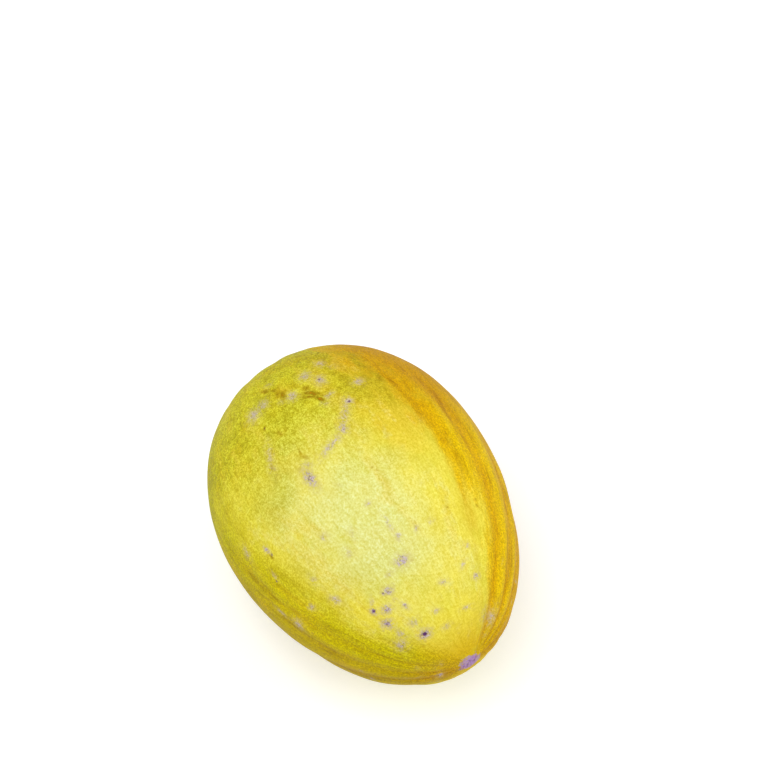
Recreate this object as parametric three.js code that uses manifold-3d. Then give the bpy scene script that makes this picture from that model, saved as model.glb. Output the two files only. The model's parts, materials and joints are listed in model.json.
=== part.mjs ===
// A ripe canary melon lying on its side: the whole fruit and the cut stub of its stem.
//
// Millimetres, +Z up. The fruit's long axis is level and runs along X, with the stem end towards -X and the
// blossom end towards +X. It lies on the small flat spot that it grew on, which is the plane z = 0, and the
// origin is on that plane, under the middle of the whole object.
import * as THREE from "three";
import { mergeVertices } from "three/addons/utils/BufferGeometryUtils.js";
import Module from "manifold-3d";

// ---- Driving dimensions ----
const FRUIT_LENGTH = 210; // pole to pole, before the stem end dips in
const FRUIT_DIAMETER = 156; // halfway along
const BLOSSOM_TAPER = 0.112; // share by which the blossom half is slimmer, and the stem half fuller
const SHOULDER_FULLNESS = 0.017; // share by which both ends are fuller than an ellipse
const AXIS_HEIGHT = 76; // the long axis above the flat spot, so the round belly loses its lowest 2.5 mm

const STEM_DIMPLE_DEPTH = 4;
const STEM_DIMPLE_RADIUS = 15;
const SCAR_RADIUS = 8; // the corky disc at the blossom pole
const SCAR_RISE = 0.5; // how proud of the skin it stands
const SCAR_EDGE = 1; // the width of its sloping rim

const STUB_LENGTH = 13; // from its foot to the cut
const STUB_RADIUS = 4.4;
const STUB_FOOT_RADIUS = 6.6;
const STUB_CUT_RADIUS = 5;
const STUB_GROOVES = 5;
const STUB_GROOVE_DEPTH = 0.9;
const STUB_GAP = 0.4; // kept between the stub's foot and the skin

// The lengthwise furrows: each one's angle round the fruit, from the top towards -Y, and its half width,
// both in degrees, and its depth in mm. The belly, at 180 degrees, is smooth where the fruit lay.
const FURROWS = [
  { angle: -26, halfWidth: 5, depth: 1.3 },
  { angle: -41, halfWidth: 6, depth: 1.6 },
  { angle: -61, halfWidth: 6, depth: 1.7 },
  { angle: -84, halfWidth: 7, depth: 1.4 },
  { angle: -108, halfWidth: 7, depth: 1.6 },
  { angle: -134, halfWidth: 8, depth: 1.2 },
  { angle: 14, halfWidth: 7, depth: 0.7 },
  { angle: 49, halfWidth: 5, depth: 1 },
  { angle: 77, halfWidth: 6, depth: 1.4 },
  { angle: 95, halfWidth: 5, depth: 1.5 },
  { angle: 118, halfWidth: 7, depth: 1.6 },
  { angle: 141, halfWidth: 8, depth: 1.2 },
];
const FURROW_AT_MIDDLE = 0.5; // share of a furrow's depth that is left halfway along
const STEM_GATHER = 1.5; // the folds draw together and deepen this much towards the stem
const FADE_AT_STEM = 0.1; // share of the way from pole to pole over which a furrow fades in
const FADE_AT_BLOSSOM = 0.14;

// ---- How finely the solids are faceted ----
const FRUIT_RINGS = 44;
const FRUIT_SIDES = 90;
const STUB_SIDES = 30;

const wasm = await Module();
wasm.setup();

// ---- The fruit's shape ----

// How much fuller or slimmer than an ellipse the fruit is, from -1 at the stem pole to 1 at the other.
function fullnessAt(towardsBlossom) {
  return 1 - BLOSSOM_TAPER * towardsBlossom + SHOULDER_FULLNESS * towardsBlossom ** 2;
}

// A point of the skin's smooth profile at a polar angle, from 0 at the stem pole to PI at the blossom pole.
function profilePoint(polar, rise = 0) {
  const towardsBlossom = -Math.cos(polar);
  const radius = (FRUIT_DIAMETER / 2) * Math.sin(polar) * fullnessAt(towardsBlossom);
  const nearStem = polar < Math.PI / 2;
  const dip = nearStem ? STEM_DIMPLE_DEPTH * Math.exp(-((radius / STEM_DIMPLE_RADIUS) ** 2)) : 0;
  const along = (FRUIT_LENGTH / 2) * towardsBlossom;
  return new THREE.Vector2(radius, along + dip + rise);
}

// The polar angle at which the blossom end has a given radius.
function blossomPolar(radius) {
  return Math.PI - Math.asin(radius / ((FRUIT_DIAMETER / 2) * fullnessAt(1)));
}

// The profile as points for a lathe, from the stem pole to the blossom pole, with the corky disc's step.
function fruitProfile() {
  const skinEnd = blossomPolar(SCAR_RADIUS);
  const discStart = blossomPolar(SCAR_RADIUS - SCAR_EDGE);
  const even = Array.from({ length: FRUIT_RINGS + 1 }, (_, ring) => (Math.PI * ring) / FRUIT_RINGS);
  const skin = even.filter((polar) => polar < skinEnd).map((polar) => profilePoint(polar));
  const disc = even.filter((polar) => polar > discStart).map((polar) => profilePoint(polar, SCAR_RISE));
  const points = [...skin, profilePoint(skinEnd), profilePoint(discStart, SCAR_RISE), ...disc];
  points.at(0).x = 0;
  points.at(-1).x = 0;
  return points;
}

// How deep the furrows are at an angle round the fruit, in degrees, and a share of the way along it.
function furrowDepth(angle, share) {
  const fromMiddle = (2 * share - 1) ** 2;
  const swell = FURROW_AT_MIDDLE + (1 - FURROW_AT_MIDDLE) * fromMiddle;
  const gather = share < 0.5 ? 1 + (STEM_GATHER - 1) * fromMiddle : 1;
  const fadeIn = THREE.MathUtils.smoothstep(share, 0, FADE_AT_STEM);
  const fadeOut = THREE.MathUtils.smoothstep(1 - share, 0, FADE_AT_BLOSSOM);
  const pressed = FURROWS.reduce((total, { angle: centre, halfWidth, depth }) => {
    const apart = ((angle - centre + 540) % 360) - 180;
    return total + depth * Math.exp(-((apart / halfWidth) ** 2));
  }, 0);
  return pressed * swell * gather * fadeIn * fadeOut;
}

// Presses the furrows in: each vertex moves towards the body's long axis, X, by the depth at its place.
function pressFurrows(geometry) {
  const position = geometry.getAttribute("position");
  for (let i = 0; i < position.count; i++) {
    const [x, y, z] = [position.getX(i), position.getY(i), position.getZ(i)];
    const radius = Math.hypot(y, z);
    const angle = THREE.MathUtils.radToDeg(Math.atan2(-y, z));
    const share = Math.acos(THREE.MathUtils.clamp((-2 * x) / FRUIT_LENGTH, -1, 1)) / Math.PI;
    const scale = radius > 0 ? 1 - furrowDepth(angle, share) / radius : 1;
    position.setXYZ(i, x, y * scale, z * scale);
  }
}

// ---- Solids for cutting ----

function solidOf(geometry) {
  const bare = new THREE.BufferGeometry();
  bare.setAttribute("position", geometry.getAttribute("position"));
  bare.setIndex(geometry.index);
  const merged = mergeVertices(bare, 1e-3);
  return new wasm.Manifold(
    new wasm.Mesh({
      numProp: 3,
      vertProperties: new Float32Array(merged.getAttribute("position").array),
      triVerts: new Uint32Array(merged.index.array),
    }),
  );
}

function geometryOf(solid) {
  const mesh = solid.getMesh();
  const geometry = new THREE.BufferGeometry();
  geometry.setAttribute("position", new THREE.BufferAttribute(mesh.vertProperties, 3));
  geometry.setIndex(new THREE.BufferAttribute(mesh.triVerts, 1));
  geometry.computeVertexNormals();
  return geometry;
}

// ---- The pieces, each with the fruit's long axis on X ----

// The whole fruit as one solid, with its belly cut flat.
function makeFruit() {
  const body = new THREE.LatheGeometry(fruitProfile(), FRUIT_SIDES);
  body.rotateZ(-Math.PI / 2); // the lathe's axis, +Y, turns to +X
  pressFurrows(body);
  const ground = new THREE.BoxGeometry(2 * FRUIT_LENGTH, 2 * FRUIT_DIAMETER, FRUIT_DIAMETER);
  ground.translate(0, 0, -AXIS_HEIGHT - FRUIT_DIAMETER / 2);
  const rind = new THREE.MeshStandardMaterial({ color: 0xe8cf2e, roughness: 0.45, metalness: 0 });
  const fruit = new THREE.Mesh(geometryOf(solidOf(body).subtract(solidOf(ground))), rind);
  fruit.name = "melon_fruit";
  return fruit;
}

// The dry stub of the stem, cut square: a grooved post on a flared foot that sits in the stem dimple.
function makeStub() {
  const profile = [
    new THREE.Vector2(0, 0),
    new THREE.Vector2(STUB_FOOT_RADIUS * 0.9, 0.3),
    new THREE.Vector2(STUB_FOOT_RADIUS, 1.1),
    new THREE.Vector2(STUB_FOOT_RADIUS * 0.86, 2.2),
    new THREE.Vector2(STUB_RADIUS * 1.08, 4.2),
    new THREE.Vector2(STUB_RADIUS, 7),
    new THREE.Vector2(STUB_RADIUS * 1.04, 10),
    new THREE.Vector2(STUB_CUT_RADIUS, STUB_LENGTH - 0.8),
    new THREE.Vector2(STUB_CUT_RADIUS * 0.9, STUB_LENGTH),
    new THREE.Vector2(0, STUB_LENGTH),
  ];
  const post = new THREE.LatheGeometry(profile, STUB_SIDES);
  const position = post.getAttribute("position");
  for (let i = 0; i < position.count; i++) {
    const [x, y, z] = [position.getX(i), position.getY(i), position.getZ(i)];
    const groove = (1 - Math.cos(STUB_GROOVES * Math.atan2(z, x))) / 2;
    const scale = 1 - (STUB_GROOVE_DEPTH / STUB_RADIUS) * groove;
    position.setXYZ(i, x * scale, y, z * scale);
  }
  const dryStem = new THREE.MeshStandardMaterial({ color: 0xa9a28c, roughness: 0.85, metalness: 0 });
  const stub = new THREE.Mesh(geometryOf(solidOf(post)), dryStem);
  stub.name = "stem_stub";
  stub.rotation.z = Math.PI / 2; // the post's axis, +Y, turns to -X
  stub.position.x = profilePoint(0).y - STUB_GAP;
  return stub;
}

// ---- The whole melon, set down on its flat spot with the origin under its middle ----

const lying = new THREE.Group();
lying.add(makeFruit(), makeStub());
const box = new THREE.Box3().setFromObject(lying);
const middle = box.getCenter(new THREE.Vector3());
lying.position.set(-middle.x, -middle.y, -box.min.z);

const melon = new THREE.Group();
melon.add(lying);

export default melon;
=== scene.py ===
"""A ripe canary melon lying on its side: its fruit, the dry stub of its stem, and the stage it is shown on.

Lengths are in metres. The fruit's long axis is level and runs along X, from the stem end at -X to the
blossom end at +X. A place on the rind is written as its share of the way from the stem pole, 0, to the
blossom pole, 1, and its angle round the fruit in degrees, from the top, 0, towards -Y, 90.
"""

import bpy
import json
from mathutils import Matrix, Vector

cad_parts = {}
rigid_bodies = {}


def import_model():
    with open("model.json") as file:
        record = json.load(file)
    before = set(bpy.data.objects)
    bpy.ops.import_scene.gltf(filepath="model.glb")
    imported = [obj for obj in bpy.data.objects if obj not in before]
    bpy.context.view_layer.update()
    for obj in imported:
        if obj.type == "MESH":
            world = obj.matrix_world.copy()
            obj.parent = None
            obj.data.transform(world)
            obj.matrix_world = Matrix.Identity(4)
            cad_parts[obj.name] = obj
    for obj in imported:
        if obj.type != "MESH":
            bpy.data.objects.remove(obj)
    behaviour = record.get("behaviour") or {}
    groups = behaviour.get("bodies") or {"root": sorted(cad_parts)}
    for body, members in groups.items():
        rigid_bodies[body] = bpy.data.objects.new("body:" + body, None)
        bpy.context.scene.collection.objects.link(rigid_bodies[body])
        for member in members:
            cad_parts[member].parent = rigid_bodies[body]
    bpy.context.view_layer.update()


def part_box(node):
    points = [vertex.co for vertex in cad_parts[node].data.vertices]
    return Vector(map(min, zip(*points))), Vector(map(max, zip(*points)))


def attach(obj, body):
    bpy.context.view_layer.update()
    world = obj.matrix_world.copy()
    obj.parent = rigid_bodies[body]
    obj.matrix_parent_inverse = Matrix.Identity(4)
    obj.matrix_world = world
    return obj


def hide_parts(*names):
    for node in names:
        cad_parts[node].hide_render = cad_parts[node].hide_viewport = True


bl_info = {
    "name": "Canary Melon",
    "version": (1, 0, 0),
    "blender": (4, 5, 0),
    "location": "View3D > Sidebar > Melon",
    "description": "Adds a ripe canary melon, its stem stub and a plain stage",
    "category": "Add Mesh",
}

import json
import math

import bpy
import numpy as np
from bpy.props import FloatProperty, FloatVectorProperty, IntProperty, PointerProperty
from mathutils import Matrix, Vector, noise

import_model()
FRUIT_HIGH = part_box("melon_fruit")[1]
STUB_LOW, STUB_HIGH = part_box("stem_stub")
AXIS_HEIGHT = (STUB_LOW.z + STUB_HIGH.z) / 2

MM = 0.001


def display(red, green, blue):
    """A colour as a display shows it, 0 to 255 a channel, as the linear colour that a shader takes."""
    return tuple(
        value / 12.92 if value <= 0.04045 else ((value + 0.055) / 1.055) ** 2.4
        for value in (red / 255, green / 255, blue / 255)
    )


def colour(name, description, red, green, blue):
    """A property for a colour, with its default as a display shows it."""
    return FloatVectorProperty(
        name=name, description=description, default=display(red, green, blue), subtype="COLOR", min=0, max=1
    )


def length(name, description, default):
    """A property for a length."""
    return FloatProperty(name=name, description=description, default=default, unit="LENGTH", precision=4)


def turning(name, description, degrees):
    """A property for an angle."""
    return FloatProperty(name=name, description=description, default=math.radians(degrees), unit="ROTATION")


def plain(name, description, default):
    """A property for a number without a unit."""
    return FloatProperty(name=name, description=description, default=default)


# ---- What a user would change ----


class FruitSizes(bpy.types.PropertyGroup):
    length: length("Length", "From pole to pole, before the stem end dips in", 210 * MM)
    diameter: length("Diameter", "Across the middle of the fruit", 156 * MM)
    taper: plain("Taper", "How much slimmer the blossom half is, as a share", 0.112)
    fullness: plain("Fullness", "How much fuller than an ellipse both ends are, as a share", 0.017)
    fold_depth: length("Fold depth", "How deep the deepest lengthwise folds are pressed in", 1.5 * MM)
    wrinkle_depth: length("Wrinkle depth", "How deep the fine lengthwise wrinkles are", 0.4 * MM)
    gather_depth: length("Gather depth", "How deep the folds that meet at the stem are", 1.9 * MM)
    lump_height: length("Lump height", "How far the soft unevenness of the rind rises and falls", 0.9 * MM)
    dimple_depth: length("Dimple depth", "How far the rind dips round the stem", 4 * MM)
    dimple_radius: length("Dimple radius", "How wide that dip is", 15 * MM)
    scar_radius: length("Scar radius", "The corky disc at the blossom pole", 8 * MM)
    scar_rise: length("Scar rise", "How proud of the rind the corky disc stands", 0.5 * MM)


class RindColours(bpy.types.PropertyGroup):
    lemon: colour("Lemon", "The main colour of the ripe rind", 248, 237, 100)
    # Lime is paler skin on top with a painted highlight over it.
    lime_and_painted_highlight: colour("Lime", "The palest, least ripe patch on top", 235, 240, 178)
    amber: colour("Amber", "The flank that had the most sun", 255, 221, 6)
    olive: colour("Olive", "The flank that lay in the shade", 230, 221, 2)
    gold: colour("Gold", "The tint beside the amber flank", 246, 234, 206)
    dull: colour("Dull", "The tint over the rougher skin towards the stem", 241, 250, 172)
    ochre: colour("Ochre", "The skin round the blossom scar", 238, 203, 26)
    cream: colour("Cream", "The spot that lay on the ground", 236, 224, 160)
    shade: colour("Shade", "The tint of the fine mottles and streaks", 238, 232, 172)
    grit: colour("Grit", "The tint of the finest speckle on the flanks and towards the stem", 208, 200, 104)
    # Painted shade, laid over the folds, the flanks where they turn under, and the crease.
    painted_shade: colour("Fold", "The tint in the bottoms of the lengthwise folds", 228, 196, 60)
    scuff: colour("Scuff", "Healed corky scuffs", 202, 184, 208)
    bruise: colour("Bruise", "The darker grain within the scuffs", 134, 108, 106)
    halo: colour("Halo", "The bleached skin round the scuffs", 200, 184, 134)
    green: colour("Green", "The last green of the unripe skin, in drifts", 216, 221, 76)
    pit: colour("Pit", "The dark middles of the deeper scuffs", 98, 58, 106)
    # Collar is a painted shadow in the dimple round the stem's foot.
    collar: colour("Collar", "The rough ring round the foot of the stem", 118, 104, 62)
    crack: colour("Crack", "The healed crease near the stem", 134, 108, 8)
    rust: colour("Rust", "The raw edges of that crease", 200, 128, 14)
    scar: colour("Scar", "The corky disc at the blossom pole", 188, 144, 208)


class StubSizes(bpy.types.PropertyGroup):
    foot_radius: length("Foot radius", "The flared foot that sits in the dimple", 6.3 * MM)
    waist_radius: length("Waist radius", "The slimmest part of the stub", 4.3 * MM)
    cut_radius: length("Cut radius", "The cut end", 4.9 * MM)
    groove_depth: length("Groove depth", "The furrows along the stub", 0.9 * MM)
    grooves: IntProperty(name="Grooves", description="How many deep furrows run along the stub", default=5)
    bark: colour("Bark", "The dry grey outside", 150, 144, 132)
    # Groove is painted shade in the furrows and the sunk middle of the cut, and the colour of the dark specks.
    groove: colour("Groove", "The dark bottoms of the furrows", 62, 52, 44)
    pith: colour("Pith", "The pale fibres of the cut end", 214, 212, 208)
    collar: colour("Collar", "The foot, where a tinge of green is left", 132, 132, 84)


class StageSizes(bpy.types.PropertyGroup):
    azimuth: turning("Azimuth", "The camera's way round the fruit", 59.5)
    elevation: turning("Elevation", "The camera's angle above the floor", 49.5)
    distance: length("Distance", "From the camera to the middle of the fruit", 0.664)
    aside: length("Aside", "How far right of the fruit's middle the camera looks", 0.013)
    above: length("Above", "How far above the fruit's middle the camera looks", 0.0682)
    lens: plain("Lens", "The camera's focal length in millimetres", 55.4)
    sky: plain("Sky", "The strength of the even light from all round", 0.55)
    lamp: plain("Lamp", "The power of the soft lamp overhead, in watts", 11.3)
    fill: plain("Fill", "The power of the wide soft lamp at the far side, in watts", 10.5)
    floor: colour("Floor", "The plain pale floor", 238, 238, 238)
    lift: plain("Lift", "How much brighter the camera sees the floor by the fruit", 0.3)


# ---- Markings of the rind ----

# Lengthwise folds: the half width of each in degrees, its depth as a share of the deepest, and the places, by
# share and angle, that it runs through.
FOLDS = [
    (5.5, 0.6, [(0.42, -25), (0.47, -25), (0.52, -29), (0.6, -28), (0.74, -26)]),
    (3, 0.3, [(0.66, -26), (0.8, -24), (0.95, -22)]),
    (6, 0.9, [(0.42, -37), (0.5, -42), (0.66, -45), (0.75, -43), (0.85, -36), (0.95, -30)]),
    (6, 0.9, [(0.5, -63), (0.7, -61), (0.8, -57), (0.95, -54)]),
    (6, 0.8, [(0.55, -80), (0.75, -74), (0.95, -70)]),
    (5, 0.12, [(0.48, 14), (0.65, 12), (0.8, 13), (0.95, 15)]),
    (4, 0.3, [(0.6, 45), (0.7, 48), (0.8, 49), (0.95, 52)]),
    (5, 0.6, [(0.48, 80), (0.65, 79), (0.78, 75), (0.95, 74)]),
    (5, 0.6, [(0.55, 84), (0.7, 91), (0.85, 90), (0.95, 90)]),
    (6, 0.9, [(0.4, 118), (0.6, 116), (0.8, 108), (0.95, 106)]),
    (7, 0.7, [(0.3, 140), (0.6, 141), (0.95, 134)]),
    (6, 0.9, [(0.25, -84), (0.6, -98), (0.95, -92)]),
    (6, 0.9, [(0.3, -112), (0.6, -116), (0.95, -112)]),
    (7, 0.7, [(0.25, -134), (0.6, -138), (0.95, -130)]),
]
FOLD_FADE = 0.07  # share of the length over which a fold fades in and out

# The folds that gather at the stem: the angle of each and its depth as a share of the deepest.
GATHERS = [
    (-172, 0.5), (-150, 0.8), (-131, 0.6), (-112, 1.0), (-95, 0.7), (-77, 0.9), (-58, 0.6), (-41, 1.0),
    (-22, 0.7), (-6, 0.5), (13, 0.8), (34, 0.6), (51, 1.0), (72, 0.8), (90, 0.7), (107, 1.0), (128, 0.6),
    (147, 0.9), (166, 0.6),
]  # fmt: skip
GATHER_HALF_WIDTH = 5.5  # degrees
GATHER_END = 0.24  # share of the way to the blossom pole that they reach
GATHER_TWIST = 14  # degrees that they would turn in the fruit's whole length

# Corky scuffs: share and angle of the middle, length along the fruit and width round it in millimetres, the
# turn of the long way in degrees, and how strong the scuff is.
SCUFFS = [
    (0.797, -20.5, 3.9, 4.8, 0, 0.8), (0.847, -6.5, 2.5, 6.3, 0, 0.67), (0.783, 3.5, 3.3, 4.8, 20, 0.64),
    (0.741, -18.5, 3.9, 4.4, 0, 0.52), (0.769, -12.5, 6.8, 2.5, 50, 0.54), (0.684, -4, 2.9, 4.4, 0, 0.52),
    (0.683, 3.5, 4.4, 2.9, 30, 0.61), (0.680, 12.5, 4.8, 3.5, 0, 0.7), (0.655, 13, 10.7, 2.9, 0, 0.56),
    (0.613, 15.5, 2.5, 3.1, 0, 0.68), (0.715, 17.5, 5.4, 6.9, 0, 1), (0.720, 26.5, 2.9, 4.4, 0, 0.55),
    (0.740, 32, 4.1, 5.4, 0, 0.92), (0.737, 35, 2.9, 2.5, 0, 0.72), (0.760, 33, 2.3, 2.3, 0, 0.65),
    (0.778, 31, 4.8, 2.8, 0, 0.72), (0.761, 40.5, 4.3, 5.3, 0, 1), (0.735, 43, 5.8, 2.5, 40, 0.57),
    (0.747, 46.5, 3.9, 3.9, 0, 1), (0.779, 47.5, 6.3, 6.3, 0, 0.94), (0.810, 48, 8.7, 4.8, 0, 0.52),
    (0.812, 35, 5.8, 6.8, 0, 0.52), (0.845, 36.2, 5.4, 6.8, 0, 0.98), (0.823, 56, 6.8, 6.8, 0, 0.67),
    (0.687, 55, 5.8, 4.3, -20, 0.68), (0.640, 55, 5.8, 4.8, 0, 0.5), (0.822, 17.5, 2.9, 4.4, 20, 0.64),
    (0.862, 17.5, 3.9, 5.8, 0, 0.52), (0.610, 38, 4.3, 4.8, 0, 0.55), (0.655, 34, 5.8, 4.4, 0, 0.5),
    (0.635, 28, 5.8, 3.3, 20, 0.48), (0.885, -42, 10.7, 8.7, 0, 0.55), (0.880, -28, 9.7, 4.8, 0, 0.5),
    (0.447, -0.4, 5.4, 4.4, 0, 0.9), (0.466, 3.6, 17, 4.8, 37, 0.62), (0.489, 7.4, 6, 4.6, 10, 0.95),
    (0.499, 11.5, 5, 6, 0, 0.6), (0.503, 15, 5, 18, -20, 0.62), (0.508, 25.7, 5.5, 4.5, 0, 0.55),
    (0.526, 28, 11, 5.6, 0, 0.95), (0.500, 27.5, 4.5, 3.5, 0, 0.45), (0.450, 35.8, 17, 4.6, 20, 0.52),
    (0.469, 37.6, 6, 4.6, 0, 0.58), (0.418, 4.1, 2.8, 5.6, -10, 0.85), (0.332, -2.2, 7, 5.5, 0, 0.7),
    (0.352, -5.1, 5, 5, 0, 0.4), (0.307, 21.6, 5, 6, 0, 0.42), (0.415, -9.1, 5.4, 6.3, -20, 0.7),
    (0.377, 3, 7.3, 5.2, 10, 0.85), (0.348, 6.7, 7.7, 6.4, 0, 0.75), (0.430, 7.5, 3.9, 3.9, 0, 0.57),
    (0.377, 16, 6.3, 5.4, 0, 0.85), (0.352, 33, 9, 8.5, 0, 0.85), (0.350, 27.8, 7.5, 6.5, 0, 0.65),
    (0.372, 20.5, 5, 4, 0, 0.45), (0.548, 61.5, 5.4, 3.1, 0, 0.8), (0.515, 71.5, 7.7, 5.4, 20, 0.6),
    (0.660, 67.5, 4.1, 4.1, 0, 0.65), (0.645, 84.5, 6.8, 7.2, 0, 0.68), (0.608, 86, 7.7, 2.9, 0, 0.65),
    (0.580, 68, 6.8, 2.9, 0, 0.53),
]  # fmt: skip

# The dark pits, most of them in the middle of a scuff, in the same form.
PITS = [
    (0.845, 36.4, 1.9, 2, 0, 0.9), (0.747, 46.5, 1.6, 1.7, 0, 0.75), (0.779, 48, 2.2, 2.3, 0, 0.5),
    (0.741, 33, 1.4, 1.4, 0, 0.45), (0.717, 16.5, 1.5, 1.6, 0, 0.32), (0.761, 41, 1.6, 1.7, 0, 0.34),
    (0.737, 35.2, 1.2, 1.3, 0, 0.45), (0.778, 31.2, 1.4, 1.4, 0, 0.4), (0.448, -0.8, 1.6, 1.7, 0, 0.65),
    (0.373, 3, 1.6, 1.7, 0, 0.6), (0.560, 61.2, 1.8, 1.9, 0, 0.6), (0.588, 69.5, 1.4, 1.4, 0, 0.55),
    (0.397, 32, 1.4, 1.4, 0, 0.5),
]  # fmt: skip

# The healed crease on the stem side, as the dashes that it is broken into, and small cracks elsewhere, in the
# same form.
CREASE = [
    (0.318, 24.1, 5.5, 2.6, -35, 0.95), (0.333, 20.8, 10, 2, -30, 0.7), (0.348, 20, 6, 2.8, 25, 0.8),
    (0.360, 18.8, 8, 3, 5, 0.9), (0.352, 17.2, 5, 1.6, -30, 0.6), (0.378, 9.7, 4.5, 3.2, -25, 1),
    (0.385, 12.8, 5, 1.4, -50, 0.55), (0.395, 9, 8, 2.6, -40, 1.4), (0.400, 10.5, 9.5, 1.8, -50, 1),
    (0.414, 8, 5.5, 2, -25, 1.25), (0.411, 6.3, 4.5, 1.4, -55, 0.7), (0.424, 1.2, 5, 1.6, -75, 0.35),
    (0.420, -18.5, 5, 1.6, -30, 0.5), (0.426, -22, 9, 1.8, -25, 0.6), (0.428, 27.8, 5.5, 2.2, -20, 0.55),
    (0.483, 25.5, 6, 1.3, 5, 0.55), (0.493, 25, 5, 1.8, -35, 0.6), (0.470, 31, 6, 1.5, -60, 0.3),
    (0.447, 34.5, 4, 1.6, 20, 0.4), (0.466, 37.5, 5, 2.2, 20, 0.45), (0.745, 48.5, 22, 1.4, 0, 0.35),
    (0.397, 32.2, 1.8, 2, 0, 0.85), (0.568, 6.5, 1.2, 1.4, 0, 0.6), (0.576, 5.4, 1.2, 1.2, 0, 0.55),
    (0.669, -32.2, 2, 2.4, 0, 0.6), (0.680, -32.4, 1.8, 2, 0, 0.55), (0.673, -14.7, 1.4, 1.6, 0, 0.55),
    (0.724, 13, 1.4, 1.8, 30, 0.5), (0.863, 47.5, 1.8, 1.8, 0, 0.5), (0.561, 62, 4.5, 1.5, 0, 0.65),
    (0.575, 67.8, 9, 1.6, -10, 0.45), (0.592, 80, 14, 2, 0, 0.6), (0.570, 78.5, 9, 1.8, 0, 0.45),
]  # fmt: skip
CREASE_DEPTH = 0.5 * MM

SCATTERED = 150  # small scuffs all over, fainter over the top, which is between two angles
SCATTERED_TOP = (-65, 95)
STRONG, FAINT = 0.85, 0.36
SCUFF_DEPTH = 0.12 * MM
PIT_DEPTH = 0.45 * MM
CREASE_SPREAD = 1.4  # how much wider than a stroke of the crease its dent is
HAZE_SPREAD = 1.45  # how much wider than a scuff the bleached skin round it is
SPOT_REACH = 0.9  # how far a crisp mark fades out, as a share of its length and width
SPOT_HEIGHT = 20 * MM  # how far it reaches above and below the rind, well past the folds and lumps
PAINTED_STEM_SHADOW_RADIUS = 11 * MM  # the painted shadow round the foot of the stem, in its dimple
SCAR_BEVEL = 1.6 * MM  # how wide the sloping rim of the corky disc is

FRUIT_SEGMENTS = 400
FRUIT_RINGS = 248
RING_CROWDING = 0.3  # how much closer together the rings are at the poles, as a share

# The edges and middles of the colour zones, as angles at shares of the fruit's length, and in degrees how wide
# the amber zone's edge is.
AMBER_EDGE = [(0.3, -15), (0.45, -22), (0.62, -33), (0.7, -37), (0.78, -36), (0.9, -35)]
AMBER_BLEND = [(0.2, 34), (0.5, 22), (0.75, 19)]
AMBER_STREAK = [(0.42, -24), (0.47, -25), (0.52, -28), (0.62, -28), (0.72, -26)]
OLIVE_EDGE = [(0.4, 68), (0.6, 60), (0.75, 57), (0.85, 50), (0.95, 40)]
# The middle of the lime zone, whose paler skin carries the painted highlight.
LIME_AND_HIGHLIGHT_MIDDLE = [(0.55, 26), (0.75, 12)]


def scattered_marks():
    """Small scuffs at random places, in the same form as the others."""
    chance = np.random.default_rng(12)
    marks = []
    for _ in range(SCATTERED):
        share = chance.uniform(0.14, 0.93)
        angle = chance.uniform(-180, 180)
        long, wide = chance.uniform(1.2, 6), chance.uniform(1.2, 4)
        most = FAINT if SCATTERED_TOP[0] < angle < SCATTERED_TOP[1] else STRONG
        marks.append((share, angle, long, wide, chance.uniform(-60, 60), most * chance.uniform(0.4, 1)))
    return marks


# ---- Working by hand: small steps that the pieces share ----


def enter(mode):
    """Goes into edit mode or back to object mode."""
    bpy.ops.object.mode_set(mode=mode)


def deselect_all():
    """Leaves nothing selected, so that the next operator acts on its own piece only."""
    if bpy.context.object and bpy.context.object.mode != "OBJECT":
        enter("OBJECT")
    bpy.ops.object.select_all(action="DESELECT")


def settle(piece, name):
    """Names the selected piece and moves its place into its mesh, so that its object sits at the origin."""
    piece.name = name
    piece.data.name = name
    bpy.ops.object.transform_apply(location=True, rotation=True, scale=True)


def coordinates(piece):
    """The piece's vertices as an array of points."""
    points = np.empty(3 * len(piece.data.vertices))
    piece.data.vertices.foreach_get("co", points)
    return points.reshape(-1, 3)


def move_vertices(piece, points):
    """Puts the piece's vertices where an array of points says."""
    piece.data.vertices.foreach_set("co", points.ravel())
    piece.data.update()


def choose_vertices(piece, chosen):
    """Enters edit mode with the chosen vertices selected and no others."""
    enter("EDIT")
    bpy.ops.mesh.select_mode(type="VERT")
    bpy.ops.mesh.select_all(action="DESELECT")
    enter("OBJECT")
    piece.data.vertices.foreach_set("select", chosen)
    enter("EDIT")


def store(piece, name, values):
    """Keeps a number for each vertex as an attribute that the materials read."""
    attribute = piece.data.attributes.new(name, "FLOAT", "POINT")
    attribute.data.foreach_set("value", values.astype(np.float32))


LEAST_WEIGHT = 0.002  # what weighs less isn't moved


def press(piece, name, weights, depth, direction="NORMAL", texture=None):
    """Moves the piece's surface by a depth, in full where a vertex weighs 1 and not at all at 0."""
    group = piece.vertex_groups.new(name=name)
    for index in np.flatnonzero(weights > LEAST_WEIGHT):
        group.add([int(index)], float(min(weights[index], 1)), "REPLACE")
    modifier = piece.modifiers.new(name, "DISPLACE")
    modifier.vertex_group = name
    modifier.direction = direction
    modifier.strength = depth
    modifier.mid_level = 0.5 if texture else 0
    if texture:
        modifier.texture = texture
        modifier.texture_coords = "LOCAL"
    bpy.ops.object.modifier_apply(modifier=modifier.name)
    piece.vertex_groups.remove(piece.vertex_groups[name])


def clouds(name, size, depth):
    """A soft noise texture for a Displace modifier."""
    texture = bpy.data.textures.new(name, "CLOUDS")
    texture.noise_scale = size
    texture.noise_depth = depth
    return texture


def smoothstep(low, high, value):
    """0 below low, 1 above high, and a smooth ramp between."""
    t = np.clip((value - low) / (high - low), 0, 1)
    return t * t * (3 - 2 * t)


def window(value, rise, fall):
    """1 within a span and 0 outside it, with a smooth ramp over its rise and over its fall."""
    return smoothstep(*rise, value) * (1 - smoothstep(*fall, value))


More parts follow.
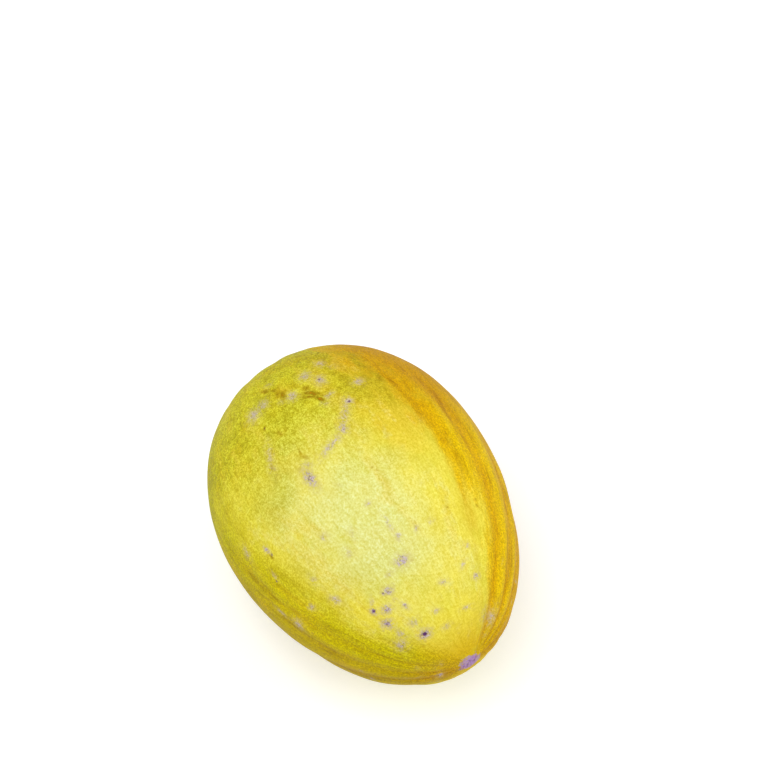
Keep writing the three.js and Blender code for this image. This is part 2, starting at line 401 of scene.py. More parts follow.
def bell(offset, width):
    """1 where an offset is 0, and fading away on both sides of it, mostly gone at twice the width."""
    return np.exp(-((offset / width) ** 2))


def follow(path, share):
    """The angle, or another number, that a path has at a share of the fruit's length."""
    return np.interp(share, *zip(*path))


# ---- The fruit ----


def egg_radius(share, sizes):
    """The rind's distance from the long axis."""
    towards_blossom = -np.cos(np.pi * share)
    fullness = 1 - sizes.taper * towards_blossom + sizes.fullness * towards_blossom**2
    return sizes.diameter / 2 * np.sin(np.pi * share) * fullness


def egg_middle(sizes):
    """The middle of the long axis, which the blossom scar's top fixes."""
    return Vector((FRUIT_HIGH.x - sizes.scar_rise - sizes.length / 2, 0, AXIS_HEIGHT))


def egg_place(share, angle, sizes):
    """A place on the smooth egg, counted from the middle of its long axis."""
    along = -sizes.length / 2 * math.cos(math.pi * share)
    radius, turn = egg_radius(share, sizes), math.radians(angle)
    return Vector((along, -radius * math.sin(turn), radius * math.cos(turn)))


def apart(angle, centre):
    """How many degrees an angle is past another, the short way round."""
    return (angle - centre + 540) % 360 - 180


class Rind:
    """Where each vertex of the fruit is on its rind, and how strong each marking is there."""

    def __init__(self, share, angle, sizes):
        self.share = share
        self.angle = angle
        self.sizes = sizes
        self.radius = egg_radius(share, sizes)

    def offsets(self, share, angle):
        """How far every vertex is from one place, along the fruit and round it."""
        polar = math.pi * share
        length, diameter = self.sizes.length, self.sizes.diameter
        run = math.pi * math.hypot(length / 2 * math.sin(polar), diameter / 2 * math.cos(polar))
        along = (self.share - share) * run
        across = np.radians(apart(self.angle, angle)) * egg_radius(share, self.sizes)
        return along, across

    def blot(self, share, angle, long, wide, turn):
        """A soft oval mark, 1 in its middle."""
        along, across = self.offsets(share, angle)
        cosine, sine = math.cos(math.radians(turn)), math.sin(math.radians(turn))
        first = along * cosine + across * sine
        second = across * cosine - along * sine
        return bell(first, long / 2) * bell(second, wide / 2)

    def marks(self, marks, spread=1):
        """The strongest of a list of marks at each vertex, each of them spread wider by a factor."""
        total = np.zeros_like(self.share)
        for share, angle, long, wide, turn, strength in marks:
            blot = self.blot(share, angle, spread * long * MM, spread * wide * MM, turn)
            total = np.maximum(total, strength * blot)
        return total

    def folds(self):
        total = np.zeros_like(self.share)
        for half_width, depth, path in FOLDS:
            wander = [follow(path, self.share + step) for step in (-0.04, -0.02, 0, 0.02, 0.04)]
            off = apart(self.angle, np.mean(wander, axis=0)) / half_width
            first, last = path[0][0], path[-1][0]
            rise = (first - FOLD_FADE, first + FOLD_FADE)
            fall = (last - FOLD_FADE / 2, last + FOLD_FADE / 2)
            total = np.maximum(total, depth * np.exp(-(np.abs(off) ** 1.6)) * window(self.share, rise, fall))
        return total

    def gathers(self):
        total = np.zeros_like(self.share)
        for angle, depth in GATHERS:
            off = apart(self.angle + GATHER_TWIST * (self.share - 0.1), angle)
            total = np.maximum(total, depth * bell(off, GATHER_HALF_WIDTH))
        return total * window(self.share, (0.02, 0.07), (0.1, GATHER_END))

    def wrinkles(self):
        """Fine uneven ridges along the fruit, strongest towards its ends."""
        turn = np.radians(self.angle)
        places = np.stack([9 * np.cos(turn), 9 * np.sin(turn), 5 * self.share], -1)
        fine = np.array([0.5 + 0.5 * noise.fractal(place, 0.9, 2.1, 3) for place in places])
        ends = 0.25 + 0.75 * smoothstep(0.18, 0.46, np.abs(self.share - 0.5))
        return np.clip(fine, 0, 1) * ends * window(self.share, (0, 0.06), (0.94, 1))


def add_ball(sizes):
    """A sphere with its poles on X, its rings crowded towards them, and its vertices' places on the rind."""
    middle = egg_middle(sizes)
    deselect_all()
    bpy.ops.mesh.primitive_uv_sphere_add(
        segments=FRUIT_SEGMENTS,
        ring_count=FRUIT_RINGS,
        radius=sizes.diameter / 2,
        location=middle,
        rotation=(0, math.pi / 2, 0),
    )
    fruit = bpy.context.object
    settle(fruit, "canary_melon_fruit")
    points = coordinates(fruit) - np.array(middle)
    polar = np.arccos(np.clip(-points[:, 0] / (sizes.diameter / 2), -1, 1))
    crowded = polar - RING_CROWDING * np.sin(2 * polar) / 2
    angle = np.degrees(np.arctan2(-points[:, 1], points[:, 2]))
    return fruit, Rind(crowded / np.pi, angle, sizes)


def shape_fruit(fruit, rind, scuffs):
    """Turns the ball into the melon's egg, and presses its dimple, folds and wrinkles in and its scar out."""
    sizes = rind.sizes
    middle = egg_middle(sizes)
    turn = np.radians(rind.angle)
    x = middle.x - sizes.length / 2 * np.cos(np.pi * rind.share)
    y = -rind.radius * np.sin(turn)
    z = middle.z + rind.radius * np.cos(turn)
    move_vertices(fruit, np.stack([x, y, z], -1))

    everywhere = np.ones_like(rind.share)
    stem_half = rind.share < 0.5
    dimple = bell(rind.radius, sizes.dimple_radius) * stem_half
    ragged = rind.radius * (1 + 0.06 * np.sin(3 * turn) + 0.04 * np.sin(7 * turn))
    disc = (1 - smoothstep(sizes.scar_radius - SCAR_BEVEL, sizes.scar_radius, ragged)) * ~stem_half
    press(fruit, "lumps", everywhere, sizes.lump_height, texture=clouds("lumps", 28 * MM, 1))
    shallow = 1 - 0.55 * smoothstep(0.72, 0.94, rind.share)  # the folds close up towards the blossom scar
    press(fruit, "folds", rind.folds() * shallow, -sizes.fold_depth)
    press(fruit, "gathers", rind.gathers(), -sizes.gather_depth)
    press(fruit, "wrinkles", rind.wrinkles(), -sizes.wrinkle_depth)
    press(fruit, "dimple", dimple, sizes.dimple_depth, "X")
    press(fruit, "scar", disc, sizes.scar_rise, "X")
    press(fruit, "scuffs", rind.marks(scuffs), -SCUFF_DEPTH)
    press(fruit, "pits", rind.marks(PITS), -PIT_DEPTH)
    press(fruit, "crease", rind.marks(CREASE, CREASE_SPREAD), -CREASE_DEPTH)


def press_flat(fruit):
    """Scales what hangs below the floor's level up onto it, and rounds the rim of this flat spot."""
    low = coordinates(fruit)[:, 2] < 0
    choose_vertices(fruit, low)
    bpy.ops.transform.resize(value=(1, 1, 0), center_override=(0, 0, 0))
    bpy.ops.mesh.select_more()
    bpy.ops.mesh.vertices_smooth(factor=0.5, repeat=3)
    enter("OBJECT")


def note_markings(fruit, rind, scuffs):
    """Keeps the markings and the colour zones of the rind as attributes, among them the painted highlight, the
    painted shade on the flanks and in the folds, and the painted shadow by the stem.
    """
    share, angle = rind.share, rind.angle
    away = smoothstep(0.03, 0.18, share)  # the zones run together at the stem

    past_edge = (follow(AMBER_EDGE, share) - angle) / follow(AMBER_BLEND, share)
    amber = smoothstep(-1, 1, past_edge) * smoothstep(-135, -95, angle) * away
    streak = bell(apart(angle, follow(AMBER_STREAK, share)), 6) * window(share, (0.38, 0.46), (0.54, 0.74))
    amber = np.maximum(amber, 0.85 * streak)
    olive = smoothstep(-18, 22, angle - follow(OLIVE_EDGE, share)) * (1 - smoothstep(125, 165, angle)) * away
    # Paler skin on top, with a painted highlight over it.
    lime_and_painted_highlight = bell(share - 0.645, 0.18) * bell(angle - follow(LIME_AND_HIGHLIGHT_MIDDLE, share), 33)
    gold = bell(angle + 14, 18) * window(share, (0.2, 0.3), (0.48, 0.66))

    # Painted shade where the olive flank and the amber flank turn under, and a painted shadow over the stem
    # half of the amber side, as cast by a neighbouring fruit.
    painted_shade_olive_edge = window(angle, (66, 100), (118, 150)) * smoothstep(0.3, 0.55, share)
    amber_side = window(-angle, (56, 84), (105, 140))
    painted_shadow_by_stem = window(-angle, (-5, 48), (60, 120)) * window(share, (0.1, 0.3), (0.35, 0.62))
    flank = 0.8 * (painted_shade_olive_edge + amber_side) + 1.4 * painted_shadow_by_stem

    store(fruit, "amber", amber)
    store(fruit, "olive", olive)
    store(fruit, "lime_and_painted_highlight", lime_and_painted_highlight)
    store(fruit, "gold", gold)
    store(fruit, "flank", flank * away)
    store(fruit, "ground", bell(share - 0.46, 0.16) * bell(apart(angle, 180), 38))
    store(fruit, "dull", window(share, (0.05, 0.22), (0.26, 0.66)))
    store(fruit, "ochre", smoothstep(0.78, 1.02, share))
    # Where the folds and gathers lie, which takes the painted shade in them.
    store(fruit, "painted_shade", np.clip(rind.folds() + rind.gathers(), 0, 1))
    store(fruit, "scuff", rind.marks(scuffs))
    store(fruit, "haze", rind.marks(scuffs, HAZE_SPREAD))
    store(fruit, "scar", np.where(share > 0.5, 1 - rind.radius / rind.sizes.scar_radius, -1))
    # Where the painted shadow round the stem's foot lies, in the dimple.
    store(fruit, "painted_stem_shadow", np.where(share < 0.5, bell(rind.radius, PAINTED_STEM_SHADOW_RADIUS), 0))


# ---- Finishes ----


class Finish:
    """A material under construction, with its colour so far. Most calls add a node and return its result."""

    def __init__(self, name, colour):
        self.colour = colour
        self.material = bpy.data.materials.new(name)
        self.material.use_nodes = True
        self.tree = self.material.node_tree
        self.shader = self.tree.nodes["Principled BSDF"]

    def add(self, kind, inputs, result=0, **settings):
        node = self.tree.nodes.new("ShaderNode" + kind)
        for setting, value in settings.items():
            setattr(node, setting, value)
        for socket, value in inputs.items():
            self.feed(node.inputs[socket], value)
        return node.outputs[result]

    def feed(self, socket, value):
        if isinstance(value, bpy.types.NodeSocket):
            self.tree.links.new(value, socket)
        elif socket.type == "RGBA":
            socket.default_value = (*value, 1)
        else:
            socket.default_value = value

    def set(self, name, value):
        """Gives the shader a value, the same all over or a node's result."""
        self.feed(self.shader.inputs[name], value)

    def attribute(self, name):
        return self.add("Attribute", {}, "Fac", attribute_name=name)

    def place(self, middle):
        """Object coordinates counted from a point."""
        spot = self.add("TexCoord", {}, "Object")
        return self.add("VectorMath", {0: spot, 1: middle}, operation="SUBTRACT")

    def noise(self, vector, scale, detail=3.0, roughness=0.55):
        values = {"Vector": vector, "Scale": scale, "Detail": detail, "Roughness": roughness}
        return self.add("TexNoise", values, "Fac")

    def math(self, operation, first, second):
        return self.add("Math", {0: first, 1: second}, operation=operation)

    def times(self, first, second):
        return self.math("MULTIPLY", first, second)

    def most(self, *values):
        """The greatest of some values."""
        result = values[0]
        for value in values[1:]:
            result = self.math("MAXIMUM", result, value)
        return result

    def ruffle(self, value, by, amount, low=0.3, high=0.7):
        """A value made uneven, up and down, by a noise's way from low to high."""
        return self.math("ADD", value, self.span(by, low, high, -amount, amount))

    def span(self, value, low, high, to_low=0.0, to_high=1.0):
        """A value's way from low to high, as a smooth ramp from one number to another."""
        values = {"Value": value, "From Min": low, "From Max": high, "To Min": to_low, "To Max": to_high}
        return self.add("MapRange", values, interpolation_type="SMOOTHSTEP")

    def mix(self, share, base, top, mode="MIX"):
        """A share of one colour over another."""
        values = {"Factor": share, 6: base, 7: top}
        return self.add("Mix", values, 2, data_type="RGBA", blend_type=mode)

    def coat(self, share, top, mode="MIX"):
        """Lays a share of a colour over the coats before it."""
        self.colour = self.mix(share, self.colour, top, mode)

    def spot(self, place, sizes, mark):
        """A crisp oval mark on the rind, strongest in its middle and gone a little past its edge."""
        share, angle, long, wide, turn, strength = mark
        along = egg_place(share + 0.001, angle, sizes) - egg_place(share - 0.001, angle, sizes)
        across = egg_place(share, angle + 1, sizes) - egg_place(share, angle - 1, sizes)
        outward = along.cross(across).normalized()
        axes = Matrix((along.normalized(), across.normalized(), outward)).transposed()
        values = {
            "Vector": place,
            "Location": egg_place(share, angle, sizes),
            "Rotation": (axes @ Matrix.Rotation(math.radians(turn), 3, "Z")).to_euler(),
            "Scale": (SPOT_REACH * long * MM, SPOT_REACH * wide * MM, SPOT_HEIGHT),
        }
        oval = self.add("Mapping", values, vector_type="TEXTURE")
        cone = self.add("TexGradient", {"Vector": oval}, "Fac", gradient_type="SPHERICAL")
        return self.times(cone, strength)

    def spots(self, place, sizes, marks):
        """The strongest of a list of marks."""
        return self.most(*(self.spot(place, sizes, mark) for mark in marks))

    def bump(self, height, strength, distance, under=None):
        values = {"Height": height, "Strength": strength, "Distance": distance}
        if under:
            values["Normal"] = under
        return self.add("Bump", values)


def lengthwise(finish, place, count, run):
    """Coordinates for a grain along the fruit: count cells a radian round it, each of them run metres long."""
    x, y, z = (finish.add("SeparateXYZ", {0: place}, axis) for axis in "XYZ")
    round_about = finish.add("CombineXYZ", {"Y": y, "Z": z})
    direction = finish.add("VectorMath", {0: round_about}, operation="NORMALIZE")
    along = finish.add("CombineXYZ", {"X": finish.math("DIVIDE", x, run)})
    values = {0: direction, 1: (count, count, count), 2: along}
    return finish.add("VectorMath", values, operation="MULTIPLY_ADD")


def rind_finish(sizes, paint):
    """The rind: zones of yellow with a painted highlight on top, a lengthwise grain, mottles, painted shade in
    the folds, on the flanks and along the crease, and healed corky marks.
    """
    finish = Finish("canary_melon_rind", paint.lemon)
    coat, span, times, most, ruffle = finish.coat, finish.span, finish.times, finish.most, finish.ruffle
    place = finish.place(egg_middle(sizes))
    drift = finish.noise(place, 28, 3)
    patch = finish.noise(lengthwise(finish, place, 6, 0.03), 1, 4, 0.6)
    streak = finish.noise(lengthwise(finish, place, 20, 0.024), 1, 4, 0.6)
    grain = finish.noise(lengthwise(finish, place, 62, 0.004), 1, 3, 0.65)
    mottle = finish.noise(place, 220, 5, 0.72)
    speck = finish.noise(place, 760, 3, 0.7)
    fine = finish.noise(place, 1300, 2, 0.6)

    def zone(name, low, high, raggedness, by=drift):
        """An attribute with its edge made uneven by a noise."""
        return span(ruffle(finish.attribute(name), by, raggedness), low, high)

    # The zones of colour, with a painted highlight in the lime zone and painted shade and shadow on the flanks.
    # The lime zone is paler skin with a painted highlight over it.
    lime_and_painted_highlight = zone("lime_and_painted_highlight", 0.1, 1.0, 0.2)
    olive = zone("olive", 0.0, 1.0, 0.15)
    amber = zone("amber", 0.05, 0.76, 0.32, patch)
    dull = times(zone("dull", 0.0, 1.0, 0.2), span(amber, 0, 1, 1, 0.25))
    coat(lime_and_painted_highlight, paint.lime_and_painted_highlight)
    coat(olive, paint.olive)
    coat(amber, paint.amber)
    coat(dull, paint.dull, "MULTIPLY")
    coat(zone("ochre", 0.0, 1.0, 0.1), paint.ochre)
    tinge = finish.noise(place, 62, 4, 0.6)
    golden = times(span(dull, 0, 1, 0.08, 0.34), span(tinge, 0.5, 0.7))
    green = times(span(dull, 0, 1, 0.2, 0.26), span(tinge, 0.48, 0.34))
    coat(golden, paint.ochre)
    coat(times(green, finish.math("SUBTRACT", 1, amber)), paint.green)
    # Painted shade where the flanks turn under, and a painted shadow by the stem on the amber side.
    coat(span(finish.attribute("flank"), 0, 1.4, 0, 0.85), paint.painted_shade, "MULTIPLY")
    coat(zone("gold", 0.0, 1.0, 0.2, patch), paint.gold, "MULTIPLY")
    coat(zone("ground", 0.3, 0.8, 0.15), paint.cream)

    # The pale patches on top, the mottles and grain all over, and the coarser grit on the flanks.
    top = finish.math("SUBTRACT", 1, most(olive, amber, dull))
    top = times(top, span(finish.attribute("ochre"), 0, 0.3, 1, 0))
    pale = span(ruffle(patch, mottle, 0.08), 0.5, 0.66, 0, 0.38)
    coat(times(pale, top), paint.lime_and_painted_highlight)
    for tone, light, dark, amount in (
        (patch, 0.5, 0.3, 0.28),
        (streak, 0.58, 0.34, 0.28),
        (grain, 0.64, 0.36, 0.46),
        (mottle, 0.62, 0.34, 0.18),
        (speck, 0.62, 0.36, 0.75),
        (fine, 0.62, 0.36, 0.58),
    ):
        coat(span(tone, light, dark, 0, amount), paint.shade, "MULTIPLY")
    amber_side = times(amber, 0.8)
    rough_skin = times(dull, span(ruffle(mottle, patch, 0.06), 0.54, 0.36, 0, 0.62))
    lined = times(most(olive, amber_side), span(streak, 0.52, 0.3, 0, 0.6))
    coat(most(rough_skin, lined), paint.grit, "MULTIPLY")
    gritty = most(span(speck, 0.54, 0.38, 0, 0.55), span(fine, 0.54, 0.38, 0, 0.8))
    gritty = times(most(amber_side, olive, dull), gritty)
    coat(gritty, paint.grit, "MULTIPLY")

    # The painted shade in the folds, the scuffs and their bleached skin, the pits, and the crease with painted
    # shade along it.
    worn = finish.noise(place, 480, 5, 0.75)
    # Painted shade in the bottoms of the folds and gathers.
    painted_shade = times(finish.attribute("painted_shade"), span(streak, 0.25, 0.6, 1.2, 0.7))
    coat(span(painted_shade, 0.05, 1.0, 0, 0.75), paint.painted_shade, "MULTIPLY")
    haze = times(finish.attribute("haze"), span(worn, 0.36, 0.62, 0.15, 1.4))
    coat(span(haze, 0.0, 0.9, 0, 0.62), paint.halo)
    scuff = times(finish.attribute("scuff"), span(speck, 0.36, 0.62, 0.35, 1.35))
    scuff = times(span(scuff, 0.22, 1.0), span(dull, 0, 1, 0.85, 0.5))
    bruised = span(ruffle(fine, worn, 0.08, 0.35, 0.65), 0.54, 0.4)
    coat(scuff, finish.mix(bruised, paint.scuff, paint.bruise))
    pit = times(finish.spots(place, sizes, PITS), span(worn, 0.35, 0.65, 1.6, 0.9))
    coat(span(pit, 0.12, 0.8), paint.pit)
    stroke = finish.spots(place, sizes, CREASE)
    # Painted shade along the crease and in the small cracks.
    coat(span(stroke, 0, 0.6, 0, 0.45), paint.painted_shade, "MULTIPLY")
    crease = times(stroke, span(worn, 0.34, 0.66, 1.5, 0.5))
    coat(span(crease, 0.1, 1.1, 0, 0.8), paint.crack)
    coat(span(crease, 0.9, 1.4, 0, 0.8), paint.rust)

    # The painted shadow in the dimple round the stem, and the corky scar.
    ring = ruffle(finish.attribute("painted_stem_shadow"), worn, 0.2)
    coat(span(ring, 0.35, 0.85, 0, 0.92), paint.collar)
    edge = finish.math("ADD", finish.attribute("scar"), span(worn, 0.36, 0.64, -0.3, 0.14))
    scar = span(edge, 0.08, 0.26)
    cork = finish.mix(span(worn, 0.5, 0.6, 0, 0.8), paint.scar, paint.halo)
    cork = finish.mix(span(worn, 0.49, 0.4, 0, 0.8), cork, paint.bruise)
    coat(scar, cork)
    finish.set("Base Color", finish.colour)

    corky = most(scuff, scar, crease)
    waxy = span(mottle, 0.3, 0.7, 0.46, 0.56)
    finish.set("Roughness", most(waxy, span(corky, 0, 1, 0.0, 0.85)))
    finish.set("Specular IOR Level", 0.04)

    skin = finish.bump(grain, 0.5, 0.40 * MM)
    skin = finish.bump(mottle, 0.5, 0.60 * MM, skin)
    skin = finish.bump(speck, 0.5, 0.35 * MM, skin)
    skin = finish.bump(times(corky, worn), 0.6, 0.5 * MM, skin)
    finish.set("Normal", skin)
    return finish.material


class MESH_OT_canary_melon_fruit(bpy.types.Operator):
    """Model the whole fruit, from stem dimple to blossom scar, and give it its rind"""

    bl_idname = "mesh.canary_melon_fruit"
    bl_label = "Add Fruit"

    def execute(self, context):
        sizes = context.scene.melon_fruit
        fruit, rind = add_ball(sizes)
        scuffs = SCUFFS + scattered_marks()
        shape_fruit(fruit, rind, scuffs)
        press_flat(fruit)
        note_markings(fruit, rind, scuffs)
        bpy.ops.object.shade_smooth()
        fruit.data.materials.append(rind_finish(sizes, context.scene.melon_rind))
        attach(fruit, "root")
        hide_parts("melon_fruit")
        return {"FINISHED"}


# ---- The stem stub ----

STUB_SIDES = 48
STUB_BODY = 0.80  # share of the stub's length that is solid, before the loose fibres start
STUB_TWIST = 0.35  # radians that the furrows turn on the way to the cut
STRAND_DEPTH = 0.55 * MM  # the finer furrows between the deep ones
FOOT_START = 0.86  # how wide the underside of the foot is, as a share of the foot

# The cut end: its rim, the ring that the fibres grow from, and the width and depth of each step of its hollow.
CUT_RIM = 0.3 * MM
CUT_RING = 1.1 * MM
CUT_HOLLOW = [(0.4 * MM, 0.7 * MM), (1.3 * MM, 0.3 * MM)]

# The loose fibres at the cut: angle round the stub, half width in degrees, length in millimetres, and how far
# the tip leans outwards in millimetres.
FIBRES = [
    (4, 9, 2.6, 0.3), (34, 12, 1.5, 0.8), (78, 16, 2.2, 0.1), (118, 9, 1.1, 0.9), (150, 12, 2.5, 0.6),
    (203, 17, 1.4, 0.4), (246, 9, 2.6, 0.9), (279, 12, 1.9, 0.1), (325, 14, 2.1, 0.7),
]  # fmt: skip


# How a fibre tapers: where each step starts, how long it is, both as a share of the fibre, and how it narrows.
FIBRE_STEPS = [(0, 0.4, 0.75), (0.4, 0.35, 0.7), (0.75, 0.25, 0.55)]


def stub_outline(sizes):
    """Each ring's share of the way from the foot to the cut, and its radius."""
    foot, waist, cut = sizes.foot_radius, sizes.waist_radius, sizes.cut_radius
    return [
        (0.04, foot * 0.97), (0.09, foot), (0.14, foot * 0.9), (0.22, waist * 1.18), (0.32, waist * 1.04),
        (0.46, waist), (0.6, waist * 1.02), (0.71, cut * 0.96), (0.77, cut), (STUB_BODY, cut * 0.96),
    ]  # fmt: skip


def choose_faces(piece, wanted):
    """Selects in edit mode the faces whose middle passes a test, and returns the middle of them all."""
    bpy.ops.mesh.select_mode(type="FACE")
    bpy.ops.mesh.select_all(action="DESELECT")
    enter("OBJECT")
    chosen = [face for face in piece.data.polygons if wanted(face.center)]
    for face in chosen:
        face.select = True
    middle = sum((face.center for face in chosen), Vector()) / len(chosen)
    enter("EDIT")
    return middle


def grow(step, scale, centre):
    """Extrudes what is selected by a step and scales its end."""
    bpy.ops.mesh.extrude_region_move(TRANSFORM_OT_translate={"value": step})
    bpy.ops.transform.resize(value=(scale, scale, scale), center_override=centre + Vector(step))


def add_stub(sizes):
    """A disc at the foot, extruded ring by ring to the cut, whose middle is sunk and whose rim frays."""
    foot = Vector((STUB_HIGH.x, 0, AXIS_HEIGHT))
    height = STUB_HIGH.x - STUB_LOW.x
    reached, radius = 0, FOOT_START * sizes.foot_radius
    deselect_all()
    bpy.ops.mesh.primitive_circle_add(
        vertices=STUB_SIDES, radius=radius, fill_type="NGON", location=foot, rotation=(0, -math.pi / 2, 0)
    )
    stub = bpy.context.object
    settle(stub, "canary_melon_stem_stub")
    enter("EDIT")
    bpy.ops.mesh.select_all(action="SELECT")
    for share, wide in stub_outline(sizes):
        centre = foot - Vector((reached * height, 0, 0))
        grow((-(share - reached) * height, 0, 0), wide / radius, centre)
        reached, radius = share, wide
    for thickness, depth in (CUT_RIM, 0), (CUT_RING, 0), *CUT_HOLLOW:
        bpy.ops.mesh.inset(thickness=thickness, depth=-depth)

    cut = foot.x - STUB_BODY * height
    inner, outer = radius - CUT_RIM - CUT_RING, radius - CUT_RIM
    for angle, half_width, long, lean in FIBRES:
        turn = math.radians(angle)
        out = Vector((0, -math.sin(turn), math.cos(turn)))

        def in_fibre(point):
            side = point - Vector((point.x, 0, AXIS_HEIGHT))
            near = side.length > 0 and side.angle(out) < math.radians(half_width)
            return near and inner < side.length < outer and abs(point.x - cut) < 0.05 * MM

        middle = choose_faces(stub, in_fibre)
        rise = Vector((-long * MM, 0, 0)) + out * lean * MM
        for start, part, scale in FIBRE_STEPS:
            grow(rise * part, scale, middle + rise * start)
    bpy.ops.mesh.select_all(action="SELECT")
    bpy.ops.mesh.normals_make_consistent(inside=False)
    enter("OBJECT")
    rounding = stub.modifiers.new("rounding", "SUBSURF")
    rounding.levels = 2
    bpy.ops.object.modifier_apply(modifier=rounding.name)
    return stub


def shape_stub(stub, sizes):
    """Furrows the stub between its fibres, twists them a little and leaves the furrows as an attribute, for the
    painted shade in them.
    """
    points = coordinates(stub)
    across, up = points[:, 1], points[:, 2] - AXIS_HEIGHT
    share = (STUB_HIGH.x - points[:, 0]) / (STUB_HIGH.x - STUB_LOW.x)
    radius, angle = np.hypot(across, up), np.arctan2(-across, up)
    turned = angle + STUB_TWIST * share
    side = smoothstep(0.03, 0.1, share) * smoothstep(0.45, 0.85, radius / sizes.waist_radius)
    wander = 0.25 * np.sin(2 * turned + 1) + 0.15 * np.sin(3 * turned + 5 * share)
    ribs = 0.5 + 0.5 * np.cos(sizes.grooves * (turned + wander))
    groove = (1 - ribs) ** 2.2 * side
    places = np.stack([4.2 * np.cos(turned), 4.2 * np.sin(turned), 1.6 * share], -1)
    strand = np.array([0.5 + 0.5 * noise.noise(place) for place in places])
    strand = np.clip((strand - 0.3) / 0.4, 0, 1) * side
    press(stub, "grooves", groove, -sizes.groove_depth)
    press(stub, "strands", strand, -STRAND_DEPTH)
    store(stub, "groove", np.clip(groove + 0.7 * strand, 0, 1))
    store(stub, "share", share)
    store(stub, "middle", 1 - radius / sizes.cut_radius)


def stub_finish(sizes):
    """Dry grey bark with painted shade in its furrows, a green tinge at the foot and pale frayed fibres at the
    cut.
    """
    finish = Finish("canary_melon_dry_stem", sizes.bark)
    coat, mix, span, ruffle = finish.coat, finish.mix, finish.span, finish.ruffle
    place = finish.place(Vector((STUB_HIGH.x, 0, AXIS_HEIGHT)))
    fibre = finish.noise(lengthwise(finish, place, 9, 0.006), 1, 4, 0.7)
    speck = finish.noise(place, 900, 4, 0.7)
    share = finish.attribute("share")
    loose = span(ruffle(share, speck, 0.05), 0.74, 0.84)
    sunk = span(finish.attribute("middle"), 0.28, 0.44)
    coat(span(fibre, 0.35, 0.62), sizes.pith)
    coat(span(ruffle(share, speck, 0.06), 0.3, 0.04, 0, 0.7), sizes.collar)
    # Painted shade in the furrows.
    dark = ruffle(finish.attribute("groove"), fibre, -0.15)
    coat(span(dark, 0.25, 0.95, 0, 0.85), sizes.groove)
    frayed = mix(span(fibre, 0.55, 0.4, 0, 0.7), sizes.pith, sizes.bark)
    # Painted shade in the sunk middle of the cut.
    sunk = finish.times(sunk, span(speck, 0.4, 0.6, 0.35, 0.9))
    frayed = mix(sunk, frayed, sizes.groove)
    coat(loose, frayed)
    coat(span(speck, 0.45, 0.3, 0, 0.5), sizes.groove)
    finish.set("Base Color", finish.colour)
    finish.set("Roughness", 0.85)
    finish.set("Specular IOR Level", 0.2)
    rough = finish.bump(fibre, 0.7, 0.5 * MM)
    rough = finish.bump(speck, 0.6, 0.3 * MM, rough)
    finish.set("Normal", rough)
    return finish.material


class MESH_OT_canary_melon_stub(bpy.types.Operator):
    """Model the dry stub of the stem, with its frayed cut end, and give it its fibrous finish"""

    bl_idname = "mesh.canary_melon_stub"
    bl_label = "Add Stem Stub"

    def execute(self, context):
        sizes = context.scene.melon_stub
        stub = add_stub(sizes)
        shape_stub(stub, sizes)
        bpy.ops.object.shade_smooth()
        stub.data.materials.append(stub_finish(sizes))
        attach(stub, "root")
        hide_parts("stem_stub")
        return {"FINISHED"}


# ---- The stage ----

FLOOR_WIDTH = 8
FLOOR_DROP = 0.2 * MM  # keeps the floor just clear of the flat spot

# Near the fruit the camera sees the floor as bright as the stage says, and far from it as bright as this.
NEAR, FAR, FAR_LIFT = 0.15, 1.2, 0.8

# Each lamp's direction from the fruit, its distance and its width.
OVERHEAD_LAMP = ((0.14, -0.36, 0.9), 1.4, 1.0)
FILL_LAMP = ((0.45, 0.85, 0.45), 1.8, 1.6)


def camera_axes(stage):
    """The directions back to the camera from the fruit, to the picture's right and up it."""
    around, above = stage.azimuth, stage.elevation
    back = Vector((math.sin(around) * math.cos(above), -math.cos(around) * math.cos(above), math.sin(above)))
    right = Vector((math.cos(around), math.sin(around), 0))
    return back, right, back.cross(right)


def put(name, data):
    """A new object in the scene, for a camera or a lamp."""
    made = bpy.data.objects.new(name, data)
    bpy.context.scene.collection.objects.link(made)
    return made


def add_camera(stage, middle):
    back, right, up = camera_axes(stage)
    camera = put("camera", bpy.data.cameras.new("camera"))
    camera.location = middle + stage.distance * back + stage.aside * right + stage.above * up
    camera.rotation_euler = (-back).to_track_quat("-Z", "Y").to_euler()
    camera.data.lens = stage.lens
    bpy.context.scene.camera = camera


def add_lamp(name, middle, direction, distance, width, power):
    lamp = put(name, bpy.data.lights.new(name, "AREA"))
    lamp.data.size = width
    lamp.data.energy = power
    direction = Vector(direction).normalized()
    lamp.location = middle + distance * direction
    lamp.rotation_euler = direction.to_track_quat("Z", "Y").to_euler()


def light_sky(strength):
    """An even light from all round, which the camera sees as white."""
    world = bpy.data.worlds.new("studio")
    world.use_nodes = True
    bpy.context.scene.world = world
    nodes, links = world.node_tree.nodes, world.node_tree.links
    path = nodes.new("ShaderNodeLightPath")
    power = nodes.new("ShaderNodeMapRange")
    power.inputs["To Min"].default_value = strength
    power.inputs["To Max"].default_value = 1
    links.new(path.outputs["Is Camera Ray"], power.inputs["Value"])
    background = nodes["Background"]
    background.inputs["Color"].default_value = (1, 1, 1, 1)
    links.new(power.outputs["Result"], background.inputs["Strength"])


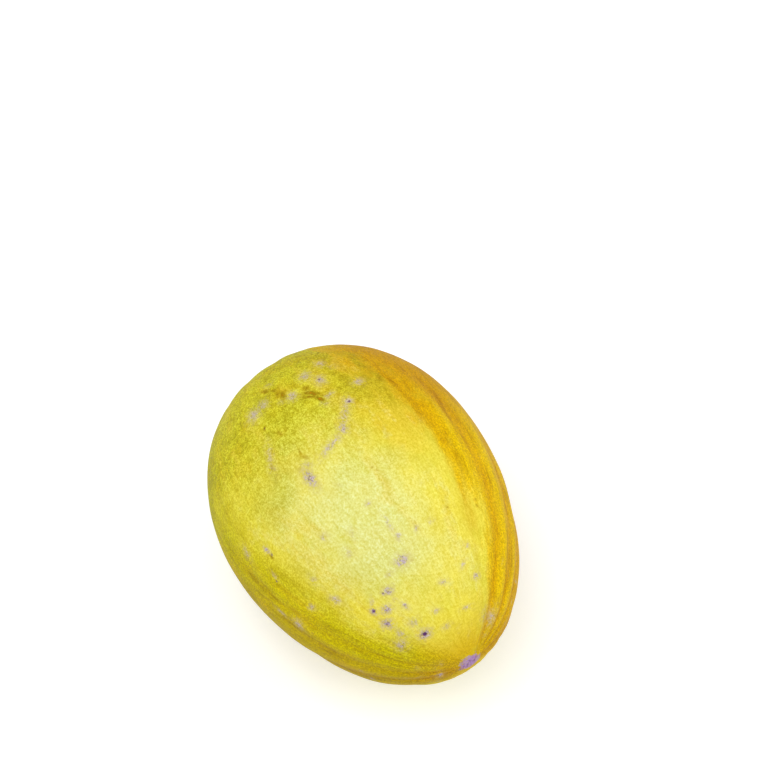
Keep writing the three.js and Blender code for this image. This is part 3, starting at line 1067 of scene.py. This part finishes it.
def add_floor(stage):
    deselect_all()
    bpy.ops.mesh.primitive_plane_add(size=FLOOR_WIDTH, location=(0, 0, -FLOOR_DROP))
    floor = bpy.context.object
    settle(floor, "floor")
    finish = Finish("pale_floor", stage.floor)
    finish.set("Base Color", finish.colour)
    finish.set("Roughness", 0.9)
    finish.set("Specular IOR Level", 0.1)
    finish.set("Emission Color", (1, 1, 1))
    seen = finish.add("LightPath", {}, "Is Camera Ray")
    away = finish.add("VectorMath", {0: finish.place((0, 0, 0))}, "Value", operation="LENGTH")
    lift = finish.times(seen, finish.span(away, NEAR, FAR, stage.lift, FAR_LIFT))
    finish.set("Emission Strength", lift)
    floor.data.materials.append(finish.material)


class SCENE_OT_canary_melon_stage(bpy.types.Operator):
    """Set up the pale floor, the soft light and the camera"""

    bl_idname = "scene.canary_melon_stage"
    bl_label = "Add Stage"

    def execute(self, context):
        stage = context.scene.melon_stage
        middle = egg_middle(context.scene.melon_fruit)
        add_camera(stage, middle)
        add_floor(stage)
        light_sky(stage.sky)
        add_lamp("overhead_lamp", middle, *OVERHEAD_LAMP, stage.lamp)
        add_lamp("fill_lamp", middle, *FILL_LAMP, stage.fill)
        context.scene.view_settings.view_transform = "Standard"
        return {"FINISHED"}


class VIEW3D_PT_canary_melon(bpy.types.Panel):
    """The melon's sizes and colours, and a button for each piece"""

    bl_label = "Canary Melon"
    bl_space_type = "VIEW_3D"
    bl_region_type = "UI"
    bl_category = "Melon"

    def draw(self, context):
        for group, operator in (
            (context.scene.melon_fruit, "mesh.canary_melon_fruit"),
            (context.scene.melon_rind, None),
            (context.scene.melon_stub, "mesh.canary_melon_stub"),
            (context.scene.melon_stage, "scene.canary_melon_stage"),
        ):
            box = self.layout.box()
            for name in group.__annotations__:
                box.prop(group, name)
            if operator:
                box.operator(operator)


GROUPS = {
    "melon_fruit": FruitSizes,
    "melon_rind": RindColours,
    "melon_stub": StubSizes,
    "melon_stage": StageSizes,
}
CLASSES = (
    *GROUPS.values(),
    MESH_OT_canary_melon_fruit,
    MESH_OT_canary_melon_stub,
    SCENE_OT_canary_melon_stage,
    VIEW3D_PT_canary_melon,
)


def register():
    for cls in CLASSES:
        bpy.utils.register_class(cls)
    for name, group in GROUPS.items():
        setattr(bpy.types.Scene, name, PointerProperty(type=group))


def unregister():
    for name in GROUPS:
        delattr(bpy.types.Scene, name)
    for cls in reversed(CLASSES):
        bpy.utils.unregister_class(cls)


def main():
    register()
    bpy.ops.mesh.canary_melon_fruit()
    bpy.ops.mesh.canary_melon_stub()
    bpy.ops.scene.canary_melon_stage()


if __name__ == "__main__":
    main()
